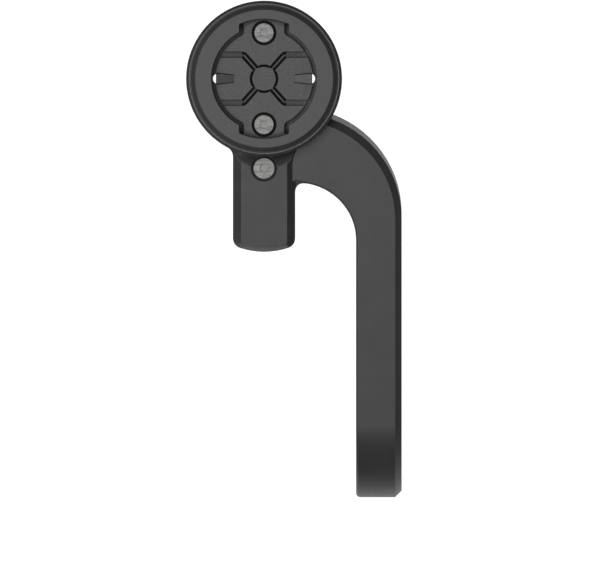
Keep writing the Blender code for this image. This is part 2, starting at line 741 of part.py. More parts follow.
def fasteners():
    front = head(0, SCREW_OFFSET, 0)
    rear = head(0, -SCREW_OFFSET, 0)
    tongue = Vector((HEAD_X, TONGUE_SCREW_Y, 0))
    socket_screw("insert_screw_front", front, SCREW_HEAD_R, SCREW_SEAT, SCREW_HEAD,
                 THREAD_INSERT_LOW + 0.1, KEY_M3)
    socket_screw("insert_screw_rear", rear, SCREW_HEAD_R, SCREW_SEAT, SCREW_HEAD, SCREW_TIP, KEY_M3)
    socket_screw("tongue_screw", tongue, TONGUE_SCREW_HEAD_R, TONGUE_SEAT, TONGUE_SCREW_HEAD,
                 SCREW_TIP, KEY_TONGUE)
    sleeve = [(SCREW_HOLE_R, THREAD_INSERT_LOW), (THREAD_INSERT_R, THREAD_INSERT_LOW)]
    sleeve += [(THREAD_INSERT_R, THREAD_INSERT_TOP), (SCREW_HOLE_R, THREAD_INSERT_TOP)]
    turned("front_thread_insert", sleeve, front, UP, "brass", steps=24)
    for name, base in (("adapter_nut_front", rear), ("adapter_nut_rear", tongue)):
        hex_nut(name, M3_NUT_R, SCREW_HOLE_R, M3_NUT_LOW, M3_NUT_LOW + M3_NUT, base, UP, ACROSS,
                "zinc_steel")


# ---------------------------------------------------------------- accessory adapter

def prong_outline():
    """Side view of a prong, as (y, z): round below, straight up into the flange."""
    root = FLANGE_LOW + 1.0
    outline = [(PRONG_Y + PRONG_R, root), (PRONG_Y - PRONG_R, root)]
    return outline + arc((PRONG_Y, PRONG_Z), PRONG_R, 180, 360, 20)


def flange_outline():
    big = FLANGE_CORNER_R
    small = FLANGE_FRONT_R
    rear = FLANGE_REAR + big
    front = FLANGE_FRONT - small
    outline = arc((HEAD_X - PRONG_HALF + big, rear), big, 180, 270, 5)
    outline += arc((HEAD_X + PRONG_HALF - big, rear), big, 270, 360, 5)
    outline += arc((HEAD_X + PRONG_HALF - small, front), small, 0, 90, 3)
    outline += arc((HEAD_X - PRONG_HALF + small, front), small, 90, 180, 3)
    return outline


def accessory_adapter():
    flat = (lambda x, y, z: Vector((x, y, z)))
    adapter = prism("accessory_adapter", flange_outline(), FLANGE_LOW, FLANGE_TOP, flat,
                    "nylon_black")
    for name, offset in (("left", -PRONG_PITCH), ("middle", 0), ("right", PRONG_PITCH)):
        low = HEAD_X + offset - PRONG_T / 2
        add(adapter, prism("prong_" + name, prong_outline(), low, low + PRONG_T,
                           lambda y, z, x: Vector((x, y, z))))
    pivot = Vector((HEAD_X, PRONG_Y, PRONG_Z))
    cut(adapter, rod("prong_hole", PRONG_HOLE_R, -THROUGH, THROUGH, pivot, ACROSS, steps=32))
    pocket = PRONG_HALF - M5_NUT - 2 * GAP
    cut(adapter, prism("prong_pocket", hexagon(M5_NUT_R + GAP, 30), pocket, THROUGH,
                       lambda y, z, x: pivot + Vector((x, y, z))))
    for name, base in (("front", head(0, -SCREW_OFFSET, 0)),
                       ("rear", Vector((HEAD_X, TONGUE_SCREW_Y, 0)))):
        cut(adapter, rod("adapter_pass_" + name, SCREW_HOLE_R, FLANGE_LOW - 3, FLANGE_TOP + 2, base,
                         UP, steps=24))
        cut(adapter, prism("adapter_pocket_" + name, hexagon(M3_NUT_R + GAP), FLANGE_LOW - 2,
                           M3_NUT_LOW + M3_NUT + GAP,
                           lambda x, y, z, b=base: b + Vector((x, y, z))))
    low = PRONG_HALF - M5_NUT - GAP
    corner = Vector((0, math.cos(math.radians(30)), math.sin(math.radians(30))))
    hex_nut("accessory_nut", M5_NUT_R, M5_BORE_R, low, low + M5_NUT, pivot, ACROSS, corner,
            "zinc_steel")
    return adapter


# ---------------------------------------------------------------- jaw, liners, bolt

def half_ring(name, inner, outer, half, start, end, edge, finish=None):
    """Half ring about the bar, between two angles in degrees, with chamfered outer edges."""
    section = [(-half, inner), (half, inner), (half, outer - edge), (half - edge, outer)]
    section += [(edge - half, outer), (-half, outer - edge)]
    steps = 30
    rings = []
    for k in range(steps + 1):
        a = math.radians(start + (end - start) * k / steps)
        rings.append([plate(x, r * math.cos(a), r * math.sin(a)) for x, r in section])
    return loft(name, rings, finish)


def lug_blank():
    """Block at the jaw's front that the bolt passes through."""
    edge = 0.6
    side = [(17.8, -SPLIT), (BOSS_FRONT - 0.4, -SPLIT), (BOSS_FRONT - 0.4, -8.3)]
    side += [(BOSS_FRONT - 2.6, -10.5), (17.6, -10.5), (13.0, -14.0), (15.0, -9.6), (16.6, -6.4)]
    middle = (21.5, -6.0)
    rings = []
    for x, shrink in ((-JAW_HALF, 1), (-JAW_HALF + edge, 0), (JAW_HALF - edge, 0), (JAW_HALF, 1)):
        ring = []
        for u, w in side:
            du = math.copysign(edge * shrink, u - middle[0])
            dw = math.copysign(edge * shrink, w - middle[1])
            ring.append(plate(x, u - du, w - dw if w < -SPLIT else w))
        rings.append(ring)
    return loft("lug_blank", rings)


def clamp_jaw():
    open_angle = math.degrees(math.asin(SPLIT / BORE_R))
    jaw = half_ring("clamp_jaw", BORE_R, JAW_R, JAW_HALF, 180 + open_angle, 360 - open_angle,
                    0.8, "anodised_black")
    pin = plate(0, PIN_U, 0)
    bolt = plate(0, BOLT_U, 0)
    add(jaw, lug_blank())
    clear = EAR_R + GAP
    for name, low, high in (("left_ear_room", -8, -KNUCKLE_HALF), ("right_ear_room", KNUCKLE_HALF, 8)):
        cut(jaw, rod(name, clear, low, high, pin, ACROSS))
    add(jaw, rod("knuckle_blank", KNUCKLE_R, -KNUCKLE_HALF + 0.01, KNUCKLE_HALF - 0.01, pin, ACROSS))
    cut(jaw, rod("knuckle_bore", PIN_R + GAP, -THROUGH, THROUGH, pin, ACROSS, steps=24))
    cut(jaw, rod("lug_hole", LUG_HOLE_R, -THROUGH, 2, bolt, PLATE_UP, steps=24))
    cut(jaw, rod("lug_sink", WASHER_R + GAP, -16, BOLT_SEAT, bolt, PLATE_UP, steps=32))
    cut(jaw, rod("retainer_room", RETAINER_R + GAP, -SPLIT - RETAINER - 2 * GAP, 2, bolt,
                 PLATE_UP, steps=32))
    set_origin(jaw, pin)
    return jaw


def clamp_small_parts():
    pin = plate(0, PIN_U, 0)
    bolt = plate(0, BOLT_U, 0)
    half_ring("upper_liner", BAR_R, BAR_R + LINER, JAW_HALF, 3, 177, 0.1, "rubber")
    lower = half_ring("lower_liner", BAR_R, BAR_R + LINER, JAW_HALF - 0.2, 183, 357, 0.1, "rubber")
    set_origin(lower, pin)
    rod("hinge_pin", PIN_R, -HALF_WIDTH + 0.3, HALF_WIDTH - 0.3, pin, ACROSS, "stainless", 24, 0.3)
    nut = rod("barrel_nut", NUT_R, -NUT_HALF, NUT_HALF, plate(0, BOLT_U, NUT_W), ACROSS,
              "zinc_steel", 32, 0.3)
    cut(nut, rod("nut_bore", NUT_BORE_R, -2, 14, bolt, PLATE_UP, steps=24))
    top = -SPLIT - GAP
    ring = [(BOLT_R + GAP, top - RETAINER), (RETAINER_R, top - RETAINER), (RETAINER_R, top)]
    retainer = turned("bolt_retaining_ring", ring + [(BOLT_R + GAP, top)], bolt, PLATE_UP,
                      "nylon_black", steps=24)
    set_origin(retainer, pin)


def clamp_bolt():
    """Bolt and washer, which slide along the bolt's axis together."""
    bolt = plate(0, BOLT_U, 0)
    seat = BOLT_SEAT - GAP
    washer = [(BOLT_R + GAP, seat - WASHER), (WASHER_R, seat - WASHER), (WASHER_R, seat)]
    ring = turned("bolt_washer", washer + [(BOLT_R + GAP, seat)], bolt, PLATE_UP, "stainless", steps=32)
    under = seat - WASHER - GAP
    low = under - BOLT_HEAD
    profile = [(0, low), (BOLT_HEAD_R - 0.4, low), (BOLT_HEAD_R, low + 0.4)]
    profile += [(BOLT_HEAD_R, under), (BOLT_R, under), (BOLT_R, BOLT_TIP - 1.0)]
    profile += [(BOLT_R - 0.7, BOLT_TIP), (0, BOLT_TIP)]
    screw = turned("clamp_bolt", profile, bolt, PLATE_UP, "stainless", steps=32)
    side = PLATE_UP.cross(ACROSS)
    recess = prism("clamp_bolt_key", hexagon(KEY_BOLT), low - 1, low + 2.2,
                   lambda a, b, h: bolt + ACROSS * a + side * b + PLATE_UP * h)
    cut(screw, recess)
    for piece in (ring, screw):
        set_origin(piece, bolt)


clear_scene()
arm_body()
mount_insert()
detent_finger(-1)
detent_finger(1)
fasteners()
accessory_adapter()
clamp_jaw()
clamp_small_parts()
clamp_bolt()
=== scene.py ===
"""Looks of the out-front handlebar mount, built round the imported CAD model.

Lengths are in metres, in the CAD model's frame: +X along the handlebar, +Y forward, +Z up, with
the origin on the handlebar's axis half way along the clamp.  MM turns millimetres into metres.
"""
import json
import math

import bmesh
import bpy
from mathutils import Matrix, Vector


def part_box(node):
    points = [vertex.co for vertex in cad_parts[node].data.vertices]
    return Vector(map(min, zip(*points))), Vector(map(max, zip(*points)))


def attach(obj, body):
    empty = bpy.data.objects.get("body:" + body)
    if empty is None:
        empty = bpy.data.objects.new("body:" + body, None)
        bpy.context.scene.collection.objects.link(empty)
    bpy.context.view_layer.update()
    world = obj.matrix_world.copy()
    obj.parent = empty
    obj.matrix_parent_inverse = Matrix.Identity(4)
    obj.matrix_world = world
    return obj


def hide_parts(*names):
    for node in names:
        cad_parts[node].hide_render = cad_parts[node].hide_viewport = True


MM = 0.001
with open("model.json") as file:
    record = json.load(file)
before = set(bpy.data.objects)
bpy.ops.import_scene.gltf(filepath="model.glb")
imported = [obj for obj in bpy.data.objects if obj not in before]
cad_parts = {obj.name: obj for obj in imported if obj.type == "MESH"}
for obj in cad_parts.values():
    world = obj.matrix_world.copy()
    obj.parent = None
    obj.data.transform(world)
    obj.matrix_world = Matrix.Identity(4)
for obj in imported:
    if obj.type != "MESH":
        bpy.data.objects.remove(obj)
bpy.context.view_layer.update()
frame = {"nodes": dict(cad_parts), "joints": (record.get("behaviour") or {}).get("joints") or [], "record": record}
NODES = frame["nodes"]
BODY_OF = {node: body for body, nodes in frame["record"]["behaviour"]["bodies"].items()
           for node in nodes}
SLOT_OF = {row["node"]: row["material_slot"] for row in frame["record"]["subparts"]}
JOINTS = {joint["name"]: joint for joint in frame["joints"]}

SHARP = math.radians(28)                    # edges that turn more than this stay crisp
THIRTY = math.radians(30)
ROUND = 72                                  # points round a turned piece
PAST = 0.1 * MM                             # how far a cutter reaches past a face
ACROSS = Vector((1, 0, 0))
UP = Vector((0, 0, 1))
PLATEAU = 41.3 * MM                         # height of the socket's floor
BOLT_AXIS = -Vector(JOINTS["bolt_slide"]["axis"]).normalized()     # up the clamp bolt


# ---------------------------------------------------------------- material nodes

class Nodes:
    """A material's node tree, with short names for the nodes that the finishes share."""

    def __init__(self, name, colour, roughness, metallic=0.0, specular=0.5):
        self.material = bpy.data.materials.new(name)
        self.material.use_nodes = True
        self.tree = self.material.node_tree
        self.shader = self.tree.nodes["Principled BSDF"]
        self.set(self.shader, "Base Color", (*colour, 1.0))
        self.set(self.shader, "Roughness", roughness)
        self.set(self.shader, "Metallic", metallic)
        self.set(self.shader, "Specular IOR Level", specular)
        self.place = self.new("ShaderNodeTexCoord").outputs["Object"]

    def new(self, kind):
        return self.tree.nodes.new(kind)

    def set(self, node, socket, value):
        """Give a socket a value, or link another node's output to it."""
        if isinstance(value, bpy.types.NodeSocket):
            self.tree.links.new(value, node.inputs[socket])
        else:
            node.inputs[socket].default_value = value

    def noise(self, size, detail=2.0, stretch=1.0):
        """Noise with features about size metres across, and stretch times longer along X."""
        node = self.new("ShaderNodeTexNoise")
        squash = self.new("ShaderNodeVectorMath")
        squash.operation = "MULTIPLY"
        self.set(squash, 0, self.place)
        self.set(squash, 1, (1.0 / stretch, 1.0, 1.0))
        self.set(node, "Vector", squash.outputs[0])
        self.set(node, "Scale", 1.0 / size)
        self.set(node, "Detail", detail)
        return node.outputs["Fac"]

    def rings(self, pitch):
        """Turned rings about the piece's own Z axis."""
        node = self.new("ShaderNodeTexWave")
        node.wave_type = "RINGS"
        node.rings_direction = "Z"
        self.set(node, "Vector", self.place)
        self.set(node, "Scale", 2 * math.pi / (20 * pitch))
        self.set(node, "Distortion", 1.5)
        self.set(node, "Detail", 1.0)
        return node.outputs["Fac"]

    def remap(self, value, low, high, start=0.3, end=0.7):
        node = self.new("ShaderNodeMapRange")
        self.set(node, "Value", value)
        self.set(node, "From Min", start)
        self.set(node, "From Max", end)
        self.set(node, "To Min", low)
        self.set(node, "To Max", high)
        return node.outputs["Result"]

    def maths(self, operation, a, b):
        node = self.new("ShaderNodeMath")
        node.operation = operation
        self.set(node, 0, a)
        self.set(node, 1, b)
        return node.outputs[0]

    def blend(self, factor, a, b):
        """Colour a where factor is 0 and b where it is 1."""
        node = self.new("ShaderNodeMix")
        node.data_type = "RGBA"
        self.set(node, "Factor", factor)
        self.set(node, "A", a if isinstance(a, bpy.types.NodeSocket) else (*a, 1.0))
        self.set(node, "B", b if isinstance(b, bpy.types.NodeSocket) else (*b, 1.0))
        return node.outputs["Result"]

    def bump(self, height, depth, before=None):
        node = self.new("ShaderNodeBump")
        self.set(node, "Height", height)
        self.set(node, "Distance", depth)
        if before:
            self.set(node, "Normal", before)
        return node.outputs["Normal"]

    def paint(self, colour, reach, closed, opened, gloss):
        """Painted shade: base colour and gloss, both scaled from closed, deep in grooves and at the foot of walls,
        to opened, on open faces.
        """
        node = self.new("ShaderNodeAmbientOcclusion")
        node.samples = 8
        self.set(node, "Distance", reach)
        light = self.remap(node.outputs["AO"], 0.1, 1.0, closed, opened)
        self.set(self.shader, "Base Color", self.blend(light, (0.001, 0.001, 0.001), colour))
        self.set(self.shader, "Specular IOR Level", self.maths("MULTIPLY", light, gloss))

    def edges(self, radius):
        """1 along outer edges, where handling thins the finish, and 0 on faces."""
        rounded = self.new("ShaderNodeBevel")
        rounded.samples = 4
        self.set(rounded, "Radius", radius)
        face = self.new("ShaderNodeNewGeometry")
        turn = self.new("ShaderNodeVectorMath")
        turn.operation = "DOT_PRODUCT"
        self.set(turn, 0, rounded.outputs["Normal"])
        self.set(turn, 1, face.outputs["Normal"])
        return self.remap(turn.outputs["Value"], 1.0, 0.0, 0.85, 0.99)


def anodised():
    """Bead-blasted aluminium under black anodising, a little paler where the edges rub."""
    n = Nodes("black_anodised", (0.030, 0.030, 0.031), 0.5)
    cloud = n.remap(n.noise(6 * MM), 0.0, 1.0)
    colour = n.blend(cloud, (0.028, 0.028, 0.029), (0.033, 0.033, 0.034))
    rubbed = n.maths("MULTIPLY", n.edges(0.25 * MM), n.remap(n.noise(1.5 * MM, 4), 0.0, 0.3))
    colour = n.blend(rubbed, colour, (0.048, 0.048, 0.050))
    # painted shade: colour and gloss darken in grooves and within 1.5 mm of walls
    n.paint(colour, 1.5 * MM, 0.0, 0.7, 0.5)
    n.set(n.shader, "Roughness", n.remap(n.noise(0.4 * MM, 3), 0.44, 0.54))
    grain = n.bump(n.noise(0.11 * MM, 3), 0.012 * MM)
    n.set(n.shader, "Normal", n.bump(n.noise(0.5 * MM), 0.006 * MM, grain))
    return n.material


def nylon():
    """Glass-filled black nylon with a fine spark-eroded texture from its mould."""
    n = Nodes("black_nylon", (0.034, 0.034, 0.035), 0.55)
    cloud = n.remap(n.noise(4 * MM, 3), 0.0, 1.0)
    fibre = n.remap(n.noise(0.16 * MM, 2), 0.0, 1.0, 0.62, 0.75)
    colour = n.blend(cloud, (0.028, 0.028, 0.029), (0.033, 0.033, 0.034))
    colour = n.blend(fibre, colour, (0.055, 0.055, 0.055))
    # painted shade: colour and gloss darken in slits, rings, the track and within 2.5 mm of walls
    n.paint(colour, 2.5 * MM, 0.3, 0.9, 0.5)
    n.set(n.shader, "Roughness", n.remap(n.noise(0.3 * MM, 3), 0.50, 0.62))
    n.set(n.shader, "Normal", n.bump(n.noise(0.16 * MM, 3), 0.015 * MM))
    return n.material


def turned_steel():
    """Satin stainless steel: faint rings from turning, under the streaks of a grinding belt."""
    n = Nodes("stainless", (0.16, 0.16, 0.158), 0.6, 1.0)
    ring = n.rings(0.22 * MM)
    streak = n.remap(n.noise(0.30 * MM, 3, 12), 0.0, 1.0, 0.36, 0.64)
    colour = n.blend(streak, (0.125, 0.125, 0.123), (0.205, 0.205, 0.202))
    n.set(n.shader, "Base Color", n.blend(n.remap(ring, 0.0, 0.2, 0, 1), colour, (0.10,) * 3))
    n.set(n.shader, "Roughness", n.remap(n.noise(0.3 * MM, 3), 0.52, 0.64))
    groove = n.bump(ring, 0.005 * MM)
    n.set(n.shader, "Normal", n.bump(n.noise(0.12 * MM, 2, 12), 0.006 * MM, groove))
    return n.material


def zinc():
    """Zinc-plated steel, slightly mottled."""
    n = Nodes("zinc_steel", (0.55, 0.56, 0.57), 0.35, 1.0)
    patch = n.remap(n.noise(0.8 * MM, 4), 0.0, 1.0)
    n.set(n.shader, "Base Color", n.blend(patch, (0.48, 0.49, 0.50), (0.62, 0.63, 0.63)))
    n.set(n.shader, "Roughness", n.remap(n.noise(0.25 * MM, 3), 0.28, 0.45))
    n.set(n.shader, "Normal", n.bump(n.noise(0.2 * MM, 3), 0.006 * MM))
    return n.material


def brass():
    """Machined brass, slightly mottled."""
    n = Nodes("brass_thread", (0.62, 0.46, 0.20), 0.35, 1.0)
    patch = n.noise(0.6 * MM, 3)
    n.set(n.shader, "Base Color", n.blend(patch, (0.55, 0.40, 0.16), (0.70, 0.53, 0.26)))
    n.set(n.shader, "Roughness", n.remap(n.noise(0.3 * MM, 3), 0.3, 0.45))
    return n.material


def rubber():
    """Moulded rubber, dusted grey where it is touched."""
    n = Nodes("rubber_liner", (0.016, 0.016, 0.016), 0.8, 0.0, 0.35)
    dust = n.remap(n.noise(2.5 * MM, 4), 0.0, 1.0, 0.45, 0.75)
    n.set(n.shader, "Base Color", n.blend(dust, (0.014, 0.014, 0.014), (0.026, 0.026, 0.025)))
    n.set(n.shader, "Roughness", n.remap(n.noise(0.4 * MM, 3), 0.72, 0.88))
    n.set(n.shader, "Normal", n.bump(n.noise(0.14 * MM, 3), 0.02 * MM))
    return n.material


FINISHES = {"black_anodised": anodised(), "black_nylon": nylon(), "stainless": turned_steel(),
            "zinc_steel": zinc(), "brass_thread": brass(), "rubber_liner": rubber()}


# ---------------------------------------------------------------- edges and smoothing

def smoothing_group():
    """Geometry nodes: drop stored normals, shade smooth, and keep edges over SHARP crisp."""
    tree = bpy.data.node_groups.new("smooth_by_angle", "GeometryNodeTree")
    tree.interface.new_socket("Geometry", in_out="INPUT", socket_type="NodeSocketGeometry")
    tree.interface.new_socket("Geometry", in_out="OUTPUT", socket_type="NodeSocketGeometry")
    start = tree.nodes.new("NodeGroupInput")
    end = tree.nodes.new("NodeGroupOutput")
    drop = tree.nodes.new("GeometryNodeRemoveAttribute")
    drop.inputs["Name"].default_value = "custom_normal"
    faces = tree.nodes.new("GeometryNodeSetShadeSmooth")
    faces.domain = "FACE"
    turn = tree.nodes.new("GeometryNodeInputMeshEdgeAngle")
    sharp = tree.nodes.new("FunctionNodeCompare")
    sharp.data_type = "FLOAT"
    sharp.operation = "GREATER_THAN"
    sharp.inputs[1].default_value = SHARP
    edges = tree.nodes.new("GeometryNodeSetShadeSmooth")
    edges.domain = "EDGE"
    edges.inputs["Shade Smooth"].default_value = False
    link = tree.links.new
    link(start.outputs[0], drop.inputs["Geometry"])
    link(drop.outputs[0], faces.inputs["Geometry"])
    link(faces.outputs[0], edges.inputs["Geometry"])
    link(turn.outputs["Unsigned Angle"], sharp.inputs[0])
    link(sharp.outputs[0], edges.inputs["Selection"])
    link(edges.outputs[0], end.inputs[0])
    return tree


SMOOTHING = smoothing_group()


def soften(piece, edge):
    """Rounded edges and smooth shading, all as modifiers."""
    weld = piece.modifiers.new("weld", "WELD")
    weld.merge_threshold = 0.002 * MM
    flat = piece.modifiers.new("flat_faces", "DECIMATE")
    flat.decimate_type = "DISSOLVE"
    flat.angle_limit = math.radians(0.6)
    bevel = piece.modifiers.new("edges", "BEVEL")
    bevel.width = edge
    bevel.segments = 2
    bevel.limit_method = "ANGLE"
    bevel.angle_limit = SHARP
    smooth = piece.modifiers.new("smooth", "NODES")
    smooth.node_group = SMOOTHING
    normals = piece.modifiers.new("normals", "WEIGHTED_NORMAL")
    normals.keep_sharp = True


def polish(node, edge):
    """A CAD node whose shape is right: its finish and its rounded edges."""
    piece = NODES[node]
    piece.data.materials.clear()
    piece.data.materials.append(FINISHES[SLOT_OF[node]])
    soften(piece, edge)


# ---------------------------------------------------------------- mesh makers

def mesh_object(name, corners, faces):
    """Object in the scene, with its faces turned outward."""
    shape = bmesh.new()
    made = [shape.verts.new(p) for p in corners]
    for face in faces:
        shape.faces.new([made[i] for i in face])
    bmesh.ops.recalc_face_normals(shape, faces=shape.faces)
    mesh = bpy.data.meshes.new(name)
    shape.to_mesh(mesh)
    shape.free()
    piece = bpy.data.objects.new(name, mesh)
    bpy.context.scene.collection.objects.link(piece)
    return piece


def skin(name, rings):
    """Closed solid through rings of equal length, capped at both ends."""
    count = len(rings[0])
    corners = [p for ring in rings for p in ring]
    faces = [tuple(range(count)), tuple(range(len(corners) - count, len(corners)))]
    for k in range(len(rings) - 1):
        for i in range(count):
            j = (i + 1) % count
            faces.append((k * count + i, k * count + j, (k + 1) * count + j, (k + 1) * count + i))
    return mesh_object(name, corners, faces)


def prism(name, outline, low, high):
    """Outline in the piece's own XY plane, extruded along its Z axis."""
    return skin(name, [[Vector((x, y, z)) for x, y in outline] for z in (low, high)])


def circle(radius, height, count, wave=0.0, turns=0, phase=0.0):
    """Ring about Z, whose radius swells by wave, turns times round."""
    ring = []
    for k in range(count):
        a = 2 * math.pi * k / count
        r = radius + wave * math.cos(turns * a + phase)
        ring.append(Vector((r * math.cos(a), r * math.sin(a), height)))
    return ring


def turned(name, profile):
    """Solid turned about its Z axis, through pairs of radius and height."""
    return skin(name, [circle(radius, height, ROUND) for radius, height in profile])


def hexagon(radius):
    """Outline of a hexagon, given the radius to its corners."""
    return [(p.x, p.y) for p in circle(radius, 0, 6)]


def carve(piece, tool, operation="DIFFERENCE"):
    """Boolean, applied at once, after which the tool is removed."""
    modifier = piece.modifiers.new("carve", "BOOLEAN")
    modifier.operation = operation
    modifier.solver = "EXACT"
    modifier.object = tool
    cut = bpy.data.meshes.new_from_object(piece.evaluated_get(bpy.context.evaluated_depsgraph_get()))
    piece.modifiers.remove(modifier)
    piece.data = cut
    bpy.data.objects.remove(tool)


def settle(piece, node, place, axis=UP, across=ACROSS):
    """Stand a piece for a CAD node: its own Z axis along axis, its X axis near across."""
    z = axis.normalized()
    y = z.cross(across).normalized()
    x = y.cross(z)
    turn = Matrix((x, y, z)).transposed().to_4x4()
    piece.matrix_world = Matrix.Translation(place) @ turn
    piece.data.materials.clear()
    piece.data.materials.append(FINISHES[SLOT_OF[node]])
    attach(piece, BODY_OF[node])
    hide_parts(node)


def middle(node):
    """Centre of a CAD node's box."""
    low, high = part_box(node)
    return (low + high) / 2


# ---------------------------------------------------------------- screws, nuts and pins

HEAD_HEIGHT = {"insert_screw_front": 1.2 * MM, "insert_screw_rear": 1.2 * MM,
               "tongue_screw": 2.5 * MM}
SCREW_KEY = 1.15 * MM                       # hexagon socket, as the radius to a corner
SCREW_KEY_DEPTH = 0.45 * MM
SCREW_SHANK_R = 1.45 * MM
SCREW_TIP = 0.4 * MM                        # chamfer at the tip
SCREW_RIM = 0.12 * MM                       # broken edge round the head
SCREW_FIT = 0.05 * MM                       # how much wider the head is than the CAD's


def small_screw(node):
    """Low cap screw: turned head with a broken rim and a flat-bottomed hexagon socket."""
    low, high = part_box(node)
    head_r = (high.x - low.x) / 2 + SCREW_FIT
    under = high.z - HEAD_HEIGHT[node]
    profile = [(SCREW_SHANK_R - SCREW_TIP, low.z), (SCREW_SHANK_R, low.z + SCREW_TIP)]
    profile += [(SCREW_SHANK_R, under), (head_r - 0.1 * MM, under), (head_r, under + 0.1 * MM)]
    profile += [(head_r, high.z - SCREW_RIM), (head_r - 0.03 * MM, high.z - 0.4 * SCREW_RIM)]
    profile += [(head_r - SCREW_RIM, high.z)]
    screw = turned(node + "_turned", profile)
    key_floor = high.z - SCREW_KEY_DEPTH
    carve(screw, prism("key", hexagon(SCREW_KEY), key_floor, high.z + 1 * MM))
    centre = middle(node)
    settle(screw, node, Vector((centre.x, centre.y, 0)))
    soften(screw, 0.04 * MM)


for screw_node in HEAD_HEIGHT:
    small_screw(screw_node)


BOLT_HEAD_R = 3.5 * MM
BOLT_HEAD_HEIGHT = 4.0 * MM
BOLT_UNDER = -0.7 * MM                      # underside of the head, from the washer's middle
BOLT_TOP = 14.6 * MM
BOLT_KEY = 1.73 * MM                        # hexagon socket, as the radius to a corner
BOLT_KEY_DEPTH = 2.2 * MM
BOLT_POINTS = 96                            # four to each ridge of the knurl
KNURL_RIDGES = 24
KNURL = 0.05 * MM
SHANK_R = 1.98 * MM
THREAD = 0.16 * MM                          # how far each ring of the thread stands off centre
THREAD_START = 3.0 * MM
PITCH = 0.7 * MM
PITCH_STEPS = 8                             # rings in one turn of the thread


def clamp_bolt():
    """M4 cap screw: knurled head with a hexagon socket below, and a rolled thread above."""
    count = BOLT_POINTS
    base = BOLT_UNDER - BOLT_HEAD_HEIGHT
    rings = [circle(BOLT_HEAD_R - 0.4 * MM, base, count)]
    rings += [circle(BOLT_HEAD_R - 0.1 * MM, base + 0.25 * MM, count)]
    for height, knurl in ((0.45, 0.0), (0.6, KNURL), (3.3, KNURL), (3.45, 0.0)):
        rings += [circle(BOLT_HEAD_R - KNURL, base + height * MM, count, knurl, KNURL_RIDGES)]
    rings += [circle(BOLT_HEAD_R - 0.2 * MM, BOLT_UNDER, count)]
    rings += [circle(SHANK_R, BOLT_UNDER, count)]
    last = int((BOLT_TOP - 1.0 * MM - THREAD_START) / PITCH * PITCH_STEPS)
    for k in range(last + 1):
        # the thread runs in and out over one turn at either end
        swell = THREAD * min(1.0, k / PITCH_STEPS, (last - k) / PITCH_STEPS)
        height = THREAD_START + k * PITCH / PITCH_STEPS
        turn = -2 * math.pi * k / PITCH_STEPS
        rings += [circle(SHANK_R - swell, height, count, swell, 1, turn)]
    rings += [circle(SHANK_R - 0.6 * MM, BOLT_TOP, count)]
    bolt = skin("clamp_bolt_threaded", rings)
    carve(bolt, prism("key", hexagon(BOLT_KEY), base - 1 * MM, base + BOLT_KEY_DEPTH))
    settle(bolt, "clamp_bolt", middle("bolt_washer"), BOLT_AXIS)
    soften(bolt, 0.04 * MM)


clamp_bolt()

NUT_LEAD = 0.5 * MM                         # how much the bore widens at each face
NUT_LEAD_DEPTH = 0.4 * MM


def hex_nut(node, axis, across, bore):
    """Hexagon nut whose corners are turned off at both faces."""
    low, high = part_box(node)
    size = high - low
    half = min(size) / 2
    corner = max(size) / 2
    flat = corner * math.cos(THIRTY)
    edge = (corner - flat) * math.tan(THIRTY)
    nut = prism(node + "_turned", hexagon(corner), -half, half)
    cone = ((flat, -half), (corner, edge - half), (corner, half - edge), (flat, half))
    carve(nut, turned("cone", cone), "INTERSECT")
    hole = ((bore + NUT_LEAD, -half - PAST), (bore, NUT_LEAD_DEPTH - half),
            (bore, half - NUT_LEAD_DEPTH), (bore + NUT_LEAD, half + PAST))
    carve(nut, turned("hole", hole))
    settle(nut, node, middle(node), axis, across)
    soften(nut, 0.05 * MM)


hex_nut("adapter_nut_front", UP, ACROSS, 1.6 * MM)
hex_nut("adapter_nut_rear", UP, ACROSS, 1.6 * MM)
hex_nut("accessory_nut", ACROSS, Vector((0, math.cos(THIRTY), 0.5)), 2.2 * MM)

CLOSE_FIT = 0.2 * MM                        # how much wider the pins are than the CAD's
BARREL_EDGE = 0.35 * MM
SLOT_HALF = 0.45 * MM
SLOT_REACH = 4 * MM
SLOT_DEPTH = 0.9 * MM
BARREL_BORE = 2.2 * MM
PIN_DOME = ((0.45, 0.0), (0.80, 0.10), (1.0, 0.32))    # share of the radius, mm from the end


def pin_size(node):
    """Half the length and the radius of a pin that lies along X and fills its bore closely."""
    low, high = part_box(node)
    return (high.x - low.x) / 2, (high.z - low.z) / 2 + CLOSE_FIT


def barrel_nut():
    """Round cross nut, slotted at both ends so that a screwdriver can turn it into line."""
    half, radius = pin_size("barrel_nut")
    nut = turned("barrel_nut_slotted", (
        (radius - BARREL_EDGE, -half), (radius, BARREL_EDGE - half),
        (radius, half - BARREL_EDGE), (radius - BARREL_EDGE, half)))
    slot = [(-SLOT_REACH, -SLOT_HALF), (SLOT_REACH, -SLOT_HALF)]
    slot += [(SLOT_REACH, SLOT_HALF), (-SLOT_REACH, SLOT_HALF)]
    for end in (-1, 1):
        depth = sorted((end * (half - SLOT_DEPTH), end * (half + 1 * MM)))
        carve(nut, prism("slot", slot, *depth))
    bore = skin("bore", [circle(BARREL_BORE, height, 36) for height in (-6 * MM, 6 * MM)])
    bore.data.transform(Matrix.Rotation(math.radians(90), 4, "Y"))
    carve(nut, bore)
    settle(nut, "barrel_nut", middle("barrel_nut"), ACROSS, BOLT_AXIS)
    soften(nut, 0.06 * MM)


def hinge_pin():
    """Plain pin with lightly domed ends."""
    half, radius = pin_size("hinge_pin")
    profile = [(radius * share, inset * MM - half) for share, inset in PIN_DOME]
    profile += [(radius * share, half - inset * MM) for share, inset in reversed(PIN_DOME)]
    pin = turned("hinge_pin_domed", profile)
    settle(pin, "hinge_pin", middle("hinge_pin"), ACROSS, UP)


barrel_nut()
hinge_pin()


# ---------------------------------------------------------------- socket fingers and liners

